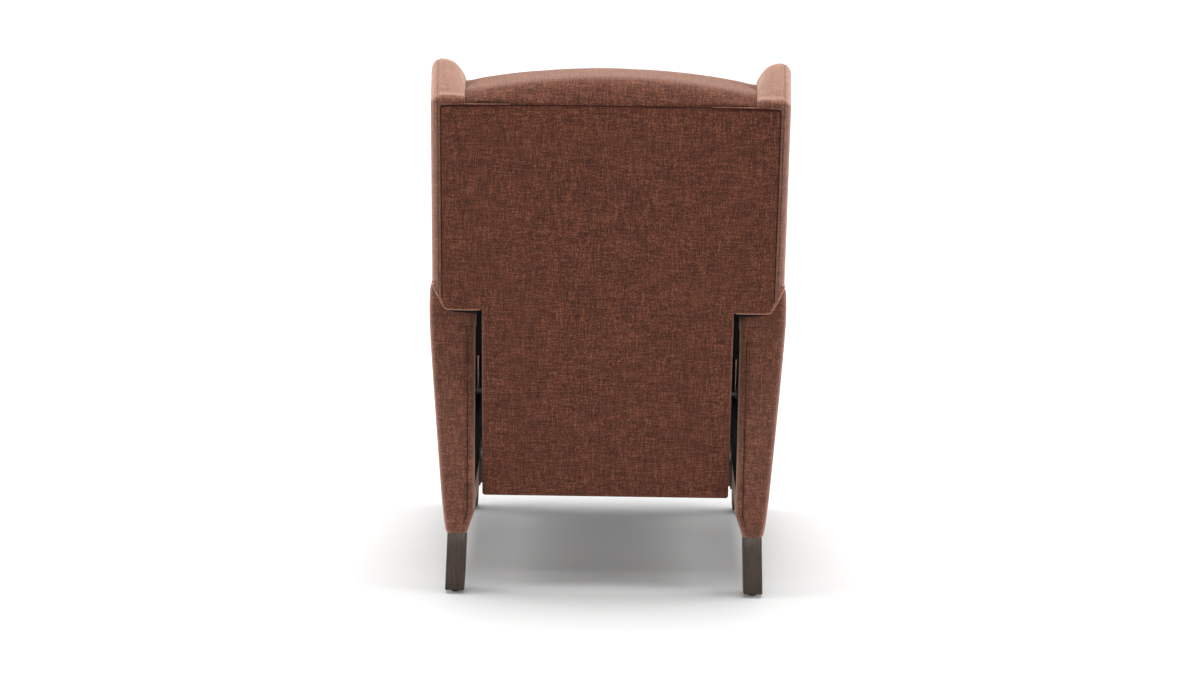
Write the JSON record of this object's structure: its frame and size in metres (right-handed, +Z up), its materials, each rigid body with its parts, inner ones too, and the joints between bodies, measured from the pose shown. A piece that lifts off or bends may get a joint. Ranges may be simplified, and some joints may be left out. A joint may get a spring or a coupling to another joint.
{
  "type": "recliner",
  "caption": "Push-back wing recliner with upholstered arms, tall back, swing-out footrest and short splayed wooden legs.",
  "frame": {"origin": "on the floor, under the middle of the closed chair's box", "axes": "+Z up, the sitter faces -Y, +X to the sitter's left"},
  "size_m": [0.698, 0.8204, 1.0681],
  "materials": {
    "outer_fabric": "coarse rust-brown weave",
    "inner_fabric": "coarse rust-brown weave over foam",
    "leg_wood": "dark brown-grey stain, satin",
    "glide_plastic": "black nylon",
    "zinc_steel": "zinc plated",
    "spring_steel": "oiled spring wire",
    "deck_cloth": "black felt",
    "frame_wood": "raw plywood and pine",
    "black_steel": "black powder coat"
  },
  "bodies": {
    "base": {"arm_frame_left": "frame_wood", "arm_frame_right": "frame_wood", "arm_cover_left": "outer_fabric", "arm_cover_right": "outer_fabric", "rear_leg_left": "leg_wood", "rear_leg_right": "leg_wood", "front_leg_left": "leg_wood", "front_leg_right": "leg_wood", "leg_glides": "glide_plastic", "leg_bolts": "zinc_steel", "base_rear_rail": "frame_wood", "base_front_rail": "frame_wood", "base_plate_left": "black_steel", "base_plate_right": "black_steel", "base_bolts": "zinc_steel", "rail_brackets": "black_steel"},
    "front_links": {"front_link_left": "black_steel", "front_link_right": "black_steel", "cross_tube": "black_steel"},
    "rear_links": {"rear_link_left": "black_steel", "rear_link_right": "black_steel"},
    "seat": {"seat_plate_left": "black_steel", "seat_plate_right": "black_steel", "seat_side_rail_left": "frame_wood", "seat_side_rail_right": "frame_wood", "seat_front_rail": "frame_wood", "seat_rear_rail": "frame_wood", "seat_springs": "spring_steel", "spring_clips": "zinc_steel", "seat_deck": "deck_cloth", "seat_cushion": "inner_fabric"},
    "back": {"back_bracket_left": "black_steel", "back_bracket_right": "black_steel", "back_bolts": "zinc_steel", "back_post_left": "frame_wood", "back_post_right": "frame_wood", "back_lower_rail": "frame_wood", "back_middle_rail": "frame_wood", "back_top_rail": "frame_wood", "wing_frame_left": "frame_wood", "wing_frame_right": "frame_wood", "wing_cover_left": "outer_fabric", "wing_cover_right": "outer_fabric", "back_springs": "spring_steel", "outside_back": "outer_fabric", "inside_back": "inner_fabric", "head_roll": "inner_fabric"},
    "short_rods": {"short_rods": "black_steel"},
    "long_rods": {"long_rods": "black_steel"},
    "links_a": {"footrest_links_a": "black_steel"},
    "links_b": {"footrest_links_b": "black_steel"},
    "links_c": {"footrest_links_c": "black_steel"},
    "links_d": {"footrest_links_d": "black_steel"},
    "footrest": {"footrest_brackets": "black_steel", "footrest_board": "frame_wood", "footrest_cushion": "inner_fabric"}
  },
  "joints": [
    {"name": "recline", "type": "hinge", "parent": "seat", "child": "back", "pos_m": [0, 0.19977, 0.43], "axis": [-1, 0, 0], "range_deg": [0, 25]},
    {"name": "front_swing", "type": "hinge", "parent": "base", "child": "front_links", "pos_m": [0, -0.13023, 0.23], "axis": [-1, 0, 0], "range_deg": [-25.01, 0]},
    {"name": "seat_swing", "type": "hinge", "parent": "front_links", "child": "seat", "pos_m": [0, -0.08919, 0.34276], "axis": [-1, 0, 0], "range_deg": [0, 25.01]},
    {"name": "rear_swing", "type": "hinge", "parent": "base", "child": "rear_links", "pos_m": [0, -0.00023, 0.23], "axis": [-1, 0, 0], "range_deg": [-25.01, 0]},
    {"name": "short_rod_pivot", "type": "hinge", "parent": "back", "child": "short_rods", "pos_m": [0, 0.21779, 0.40117], "axis": [-1, 0, 0], "range_deg": [-22.38, 0]},
    {"name": "long_rod_pivot", "type": "hinge", "parent": "back", "child": "long_rods", "pos_m": [0, 0.21714, 0.33152], "axis": [-1, 0, 0], "range_deg": [-25.08, 0]},
    {"name": "link_a_pivot", "type": "hinge", "parent": "seat", "child": "links_a", "pos_m": [0, -0.29623, 0.35], "axis": [-1, 0, 0], "range_deg": [0, 105.45]},
    {"name": "link_b_pivot", "type": "hinge", "parent": "seat", "child": "links_b", "pos_m": [0, -0.32523, 0.368], "axis": [-1, 0, 0], "range_deg": [0, 105.21]},
    {"name": "link_c_pivot", "type": "hinge", "parent": "links_b", "child": "links_c", "pos_m": [0, -0.19394, 0.22721], "axis": [-1, 0, 0], "range_deg": [-106.34, 0]},
    {"name": "link_d_pivot", "type": "hinge", "parent": "links_b", "child": "links_d", "pos_m": [0, -0.17553, 0.20747], "axis": [-1, 0, 0], "range_deg": [-107.53, 0]},
    {"name": "footrest_pivot", "type": "hinge", "parent": "links_c", "child": "footrest", "pos_m": [0, -0.33447, 0.31368], "axis": [-1, 0, 0], "range_deg": [0, 96.15]}
  ],
  "couplings": [
    {"joint": "short_rod_pivot", "follows": "recline", "ratio": -0.89481},
    {"joint": "long_rod_pivot", "follows": "recline", "ratio": -1.0028},
    {"joint": "link_a_pivot", "follows": "recline", "ratio": 4.2178},
    {"joint": "link_b_pivot", "follows": "recline", "ratio": 4.208},
    {"joint": "link_c_pivot", "follows": "recline", "ratio": -4.2534},
    {"joint": "link_d_pivot", "follows": "recline", "ratio": -4.3006},
    {"joint": "footrest_pivot", "follows": "recline", "ratio": 3.8456},
    {"joint": "front_swing", "follows": "recline", "ratio": -1},
    {"joint": "seat_swing", "follows": "recline", "ratio": 1},
    {"joint": "rear_swing", "follows": "recline", "ratio": -1}
  ]
}
